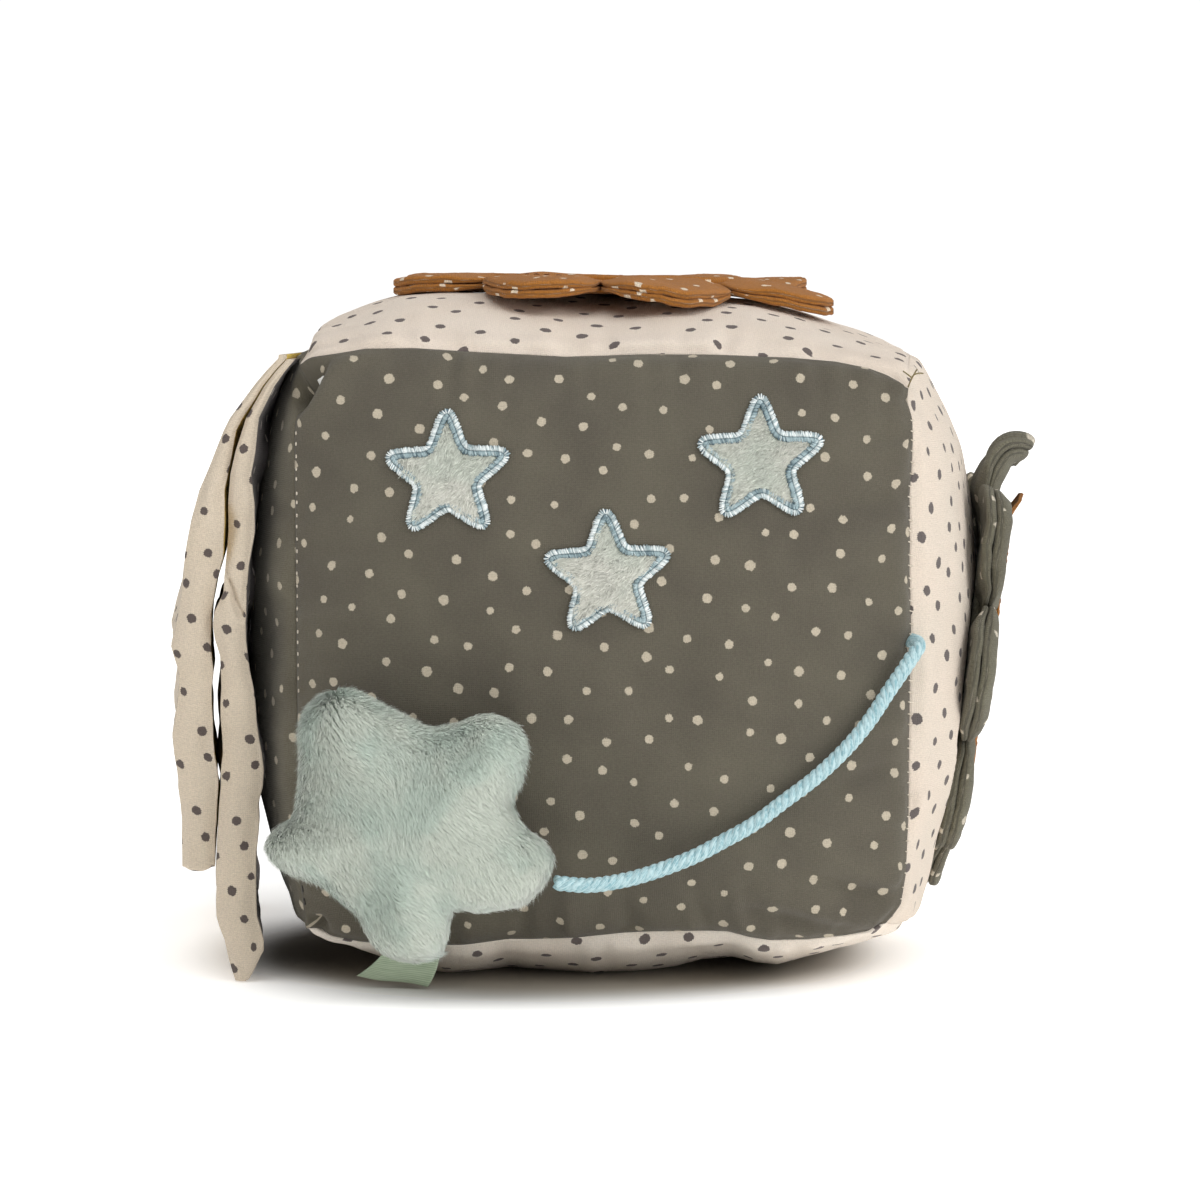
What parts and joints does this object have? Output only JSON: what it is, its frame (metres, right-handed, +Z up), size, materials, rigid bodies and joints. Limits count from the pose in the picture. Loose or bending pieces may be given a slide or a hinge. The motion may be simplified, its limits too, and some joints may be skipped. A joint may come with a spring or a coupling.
{
  "type": "soft rattle activity cube",
  "caption": "Stuffed cotton activity cube with an inner rattle, padded side pages, a plush star on a cord, applique stars and petal shapes.",
  "frame": {"origin": "middle of the flat patch of the bottom panel that the cube rests on", "axes": "+Z up, -Y out of the front face with the applique stars, +X to the right seen from the front"},
  "size_m": [0.1849, 0.1717, 0.1407],
  "materials": {
    "olive_cotton": "woven cotton with small cream dots",
    "cream_cotton": "woven cotton with small dark dots",
    "rust_cotton": "woven cotton with small white dots",
    "mint_plush": "short-pile plush",
    "satin_thread": "satin-stitched embroidery thread",
    "aqua_cord": "three-ply twisted cord",
    "yellow_cotton": "plain woven cotton",
    "plum_cotton": "woven cotton with small pale dots",
    "green_ribbon": "satin ribbon",
    "fibre_fill": "loose polyester fibre",
    "capsule_plastic": "moulded",
    "bead_plastic": "moulded"
  },
  "bodies": {
    "cube": {"front_panel": "olive_cotton", "back_panel": "olive_cotton", "left_panel": "olive_cotton", "right_panel": "cream_cotton", "top_panel": "cream_cotton", "bottom_panel": "cream_cotton", "filling_lower": "fibre_fill", "filling_upper": "fibre_fill", "rattle_cup": "capsule_plastic", "rattle_lid": "capsule_plastic", "star_border_1": "satin_thread", "star_border_2": "satin_thread", "star_border_3": "satin_thread", "star_patch_1": "mint_plush", "star_patch_2": "mint_plush", "star_patch_3": "mint_plush", "top_flower_centre": "rust_cotton", "side_flower_centre": "olive_cotton", "rust_flower_centre": "rust_cotton"},
    "inner_page": {"inner_page_cube_face": "plum_cotton", "inner_page_outer_face": "cream_cotton", "inner_page_gusset": "cream_cotton", "inner_page_padding": "fibre_fill"},
    "outer_page": {"outer_page_cube_face": "yellow_cotton", "outer_page_outer_face": "cream_cotton", "outer_page_gusset": "cream_cotton", "outer_page_padding": "fibre_fill"},
    "cord_root": {"cord_tack": "aqua_cord"},
    "cord": {"star_cord": "aqua_cord"},
    "plush_star": {"plush_star_front": "mint_plush", "plush_star_back": "mint_plush", "plush_star_stuffing": "fibre_fill"},
    "ribbon_tab": {"ribbon_tab": "green_ribbon"},
    "bead_1": {"rattle_bead_1": "bead_plastic"},
    "bead_2": {"rattle_bead_2": "bead_plastic"},
    "bead_3": {"rattle_bead_3": "bead_plastic"},
    "top_petal_1": {"top_flower_petal_1": "rust_cotton"},
    "top_petal_2": {"top_flower_petal_2": "rust_cotton"},
    "top_petal_3": {"top_flower_petal_3": "rust_cotton"},
    "top_petal_4": {"top_flower_petal_4": "rust_cotton"},
    "top_petal_5": {"top_flower_petal_5": "rust_cotton"},
    "top_petal_6": {"top_flower_petal_6": "rust_cotton"},
    "top_petal_7": {"top_flower_petal_7": "rust_cotton"},
    "top_petal_8": {"top_flower_petal_8": "rust_cotton"},
    "side_petal_1": {"side_flower_petal_1": "olive_cotton", "rust_flower_petal_1": "rust_cotton"},
    "side_petal_2": {"side_flower_petal_2": "olive_cotton", "rust_flower_petal_2": "rust_cotton"},
    "side_petal_3": {"side_flower_petal_3": "olive_cotton", "rust_flower_petal_3": "rust_cotton"},
    "side_petal_4": {"side_flower_petal_4": "olive_cotton", "rust_flower_petal_4": "rust_cotton"},
    "side_petal_5": {"side_flower_petal_5": "olive_cotton", "rust_flower_petal_5": "rust_cotton"},
    "side_petal_6": {"side_flower_petal_6": "olive_cotton", "rust_flower_petal_6": "rust_cotton"},
    "side_petal_7": {"side_flower_petal_7": "olive_cotton", "rust_flower_petal_7": "rust_cotton"},
    "side_petal_8": {"side_flower_petal_8": "olive_cotton", "rust_flower_petal_8": "rust_cotton"}
  },
  "joints": [
    {"name": "inner_page_hinge", "type": "hinge", "parent": "cube", "child": "inner_page", "pos_m": [-0.0625, 0, 0.1255], "axis": [0, 1, 0], "range_deg": [0, 100]},
    {"name": "outer_page_hinge", "type": "hinge", "parent": "inner_page", "child": "outer_page", "pos_m": [-0.0665, 0, 0.126], "axis": [0, 1, 0], "range_deg": [0, 75]},
    {"name": "cord_swing", "type": "hinge", "parent": "cube", "child": "cord_root", "pos_m": [0.0624, -0.0624, 0.0682], "axis": [0, 0, 1], "range_deg": [0, 80]},
    {"name": "cord_lift", "type": "hinge", "parent": "cord_root", "child": "cord", "pos_m": [0.0624, -0.0624, 0.0682], "axis": [-0.3748, 0.6556, 0.6556], "range_deg": [0, 50]},
    {"name": "star_turn", "type": "hinge", "parent": "cord", "child": "plush_star", "pos_m": [-0.015, -0.085, 0.0273], "axis": [0.224, 0.6891, 0.6891], "range_deg": [0, 60]},
    {"name": "tab_hinge", "type": "hinge", "parent": "cube", "child": "ribbon_tab", "pos_m": [-0.042, -0.0624, 0.0088], "axis": [-1, 0, 0], "range_deg": [0, 35]},
    {"name": "bead_1_slide", "type": "slide", "parent": "cube", "child": "bead_1", "axis": [0, 0, 1], "range_m": [0, 0.026]},
    {"name": "bead_2_slide", "type": "slide", "parent": "cube", "child": "bead_2", "axis": [0, 0, 1], "range_m": [0, 0.026]},
    {"name": "bead_3_slide", "type": "slide", "parent": "cube", "child": "bead_3", "axis": [0, 0, 1], "range_m": [0, 0.026]},
    {"name": "top_petal_1_bend", "type": "hinge", "parent": "cube", "child": "top_petal_1", "pos_m": [0.02818, 0.01167, 0.1407], "axis": [0.3827, -0.9239, 0], "range_deg": [0, 70]},
    {"name": "top_petal_2_bend", "type": "hinge", "parent": "cube", "child": "top_petal_2", "pos_m": [0.01167, 0.02818, 0.1407], "axis": [0.9239, -0.3827, 0], "range_deg": [0, 70]},
    {"name": "top_petal_3_bend", "type": "hinge", "parent": "cube", "child": "top_petal_3", "pos_m": [-0.01167, 0.02818, 0.1407], "axis": [0.9239, 0.3827, 0], "range_deg": [0, 70]},
    {"name": "top_petal_4_bend", "type": "hinge", "parent": "cube", "child": "top_petal_4", "pos_m": [-0.02818, 0.01167, 0.1407], "axis": [0.3827, 0.9239, 0], "range_deg": [0, 70]},
    {"name": "top_petal_5_bend", "type": "hinge", "parent": "cube", "child": "top_petal_5", "pos_m": [-0.02818, -0.01167, 0.1407], "axis": [-0.3827, 0.9239, 0], "range_deg": [0, 70]},
    {"name": "top_petal_6_bend", "type": "hinge", "parent": "cube", "child": "top_petal_6", "pos_m": [-0.01167, -0.02818, 0.1407], "axis": [-0.9239, 0.3827, 0], "range_deg": [0, 70]},
    {"name": "top_petal_7_bend", "type": "hinge", "parent": "cube", "child": "top_petal_7", "pos_m": [0.01167, -0.02818, 0.1407], "axis": [-0.9239, -0.3827, 0], "range_deg": [0, 70]},
    {"name": "top_petal_8_bend", "type": "hinge", "parent": "cube", "child": "top_petal_8", "pos_m": [0.02818, -0.01167, 0.1407], "axis": [-0.3827, -0.9239, 0], "range_deg": [0, 70]},
    {"name": "side_petal_1_bend", "type": "hinge", "parent": "cube", "child": "side_petal_1", "pos_m": [0.08669, 0, 0.08947], "axis": [0, 1, 0], "range_deg": [0, 70], "stiffness_Nm_per_rad": 0.0005},
    {"name": "side_petal_2_bend", "type": "hinge", "parent": "cube", "child": "side_petal_2", "pos_m": [0.08545, -0.02157, 0.08062], "axis": [0.0984, 0.7071, 0.7002], "range_deg": [0, 70], "stiffness_Nm_per_rad": 0.0005},
    {"name": "side_petal_3_bend", "type": "hinge", "parent": "cube", "child": "side_petal_3", "pos_m": [0.08245, -0.0305, 0.05926], "axis": [0.1392, 0, 0.9903], "range_deg": [0, 70], "stiffness_Nm_per_rad": 0.0005},
    {"name": "side_petal_4_bend", "type": "hinge", "parent": "cube", "child": "side_petal_4", "pos_m": [0.07945, -0.02157, 0.03791], "axis": [0.0984, -0.7071, 0.7002], "range_deg": [0, 70], "stiffness_Nm_per_rad": 0.0005},
    {"name": "side_petal_5_bend", "type": "hinge", "parent": "cube", "child": "side_petal_5", "pos_m": [0.0782, 0, 0.02906], "axis": [0, -1, 0], "range_deg": [0, 70], "stiffness_Nm_per_rad": 0.0005},
    {"name": "side_petal_6_bend", "type": "hinge", "parent": "cube", "child": "side_petal_6", "pos_m": [0.07945, 0.02157, 0.03791], "axis": [-0.0984, -0.7071, -0.7002], "range_deg": [0, 70], "stiffness_Nm_per_rad": 0.0005},
    {"name": "side_petal_7_bend", "type": "hinge", "parent": "cube", "child": "side_petal_7", "pos_m": [0.08245, 0.0305, 0.05926], "axis": [-0.1392, 0, -0.9903], "range_deg": [0, 70], "stiffness_Nm_per_rad": 0.0005},
    {"name": "side_petal_8_bend", "type": "hinge", "parent": "cube", "child": "side_petal_8", "pos_m": [0.08545, 0.02157, 0.08062], "axis": [-0.0984, 0.7071, -0.7002], "range_deg": [0, 70], "stiffness_Nm_per_rad": 0.0005}
  ]
}
